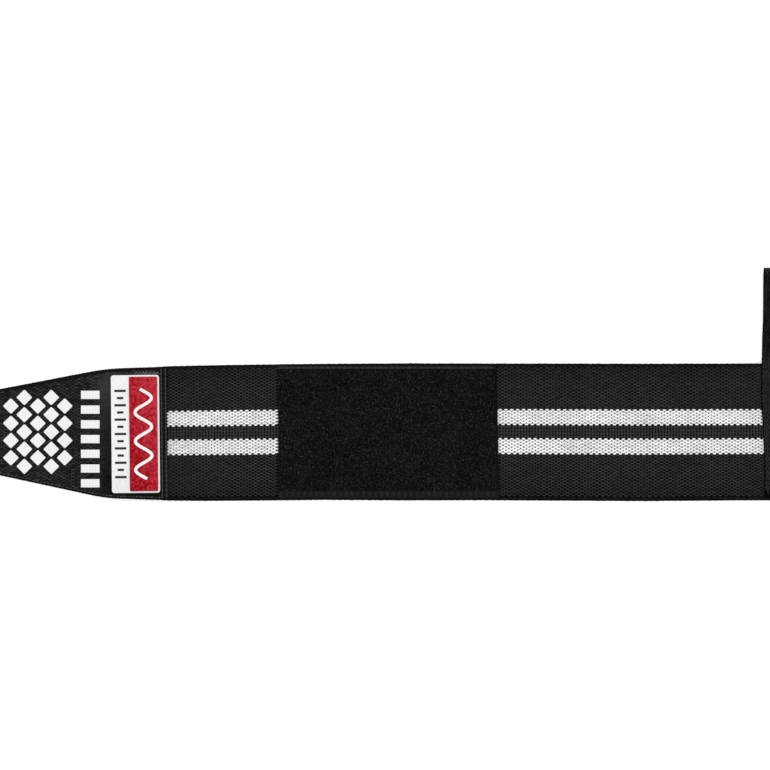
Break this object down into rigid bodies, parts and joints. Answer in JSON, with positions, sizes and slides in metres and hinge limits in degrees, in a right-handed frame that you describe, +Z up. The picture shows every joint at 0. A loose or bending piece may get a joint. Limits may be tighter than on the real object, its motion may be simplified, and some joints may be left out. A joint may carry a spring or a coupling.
{
  "type": "wrist wrap",
  "caption": "Flat elastic wrist wrap with a tapered hook closure tab, a loop patch on the band and a folded tape thumb loop.",
  "frame": {"origin": "middle of the wrap's length, on the band's centreline, on the flat underside that it rests on", "axes": "+X along the band from the closure tab to the thumb loop, +Y across the band to the side that the thumb loop reaches out of, +Z up out of the wrap's outer face"},
  "size_m": [0.4611, 0.1299, 0.0116],
  "materials": {
    "elastic_black": "matt woven elastic web, black, with fine raised ribs across it",
    "elastic_white": "matt woven elastic web, white yarns of the two stripes",
    "tab_cloth": "fine black woven cloth with a slight sheen",
    "tab_print": "matt white print on the cloth",
    "hook_tape": "black hook tape, matt",
    "loop_pile": "black loop pile, fuzzy and dull",
    "label_white": "white woven label, satin",
    "label_red": "red woven field, satin",
    "loop_tape": "black ribbed tape with a smooth selvedge",
    "thread_black": "black sewing thread",
    "thread_pale": "pale grey overlock thread"
  },
  "bodies": {
    "root": {"elastic_band": "elastic_black", "closure_tab": "tab_cloth", "hook_panel": "hook_tape", "loop_patch": "loop_pile", "label_frame": "label_white", "label_field": "label_red", "thumb_loop": "loop_tape"}
  },
  "joints": []
}
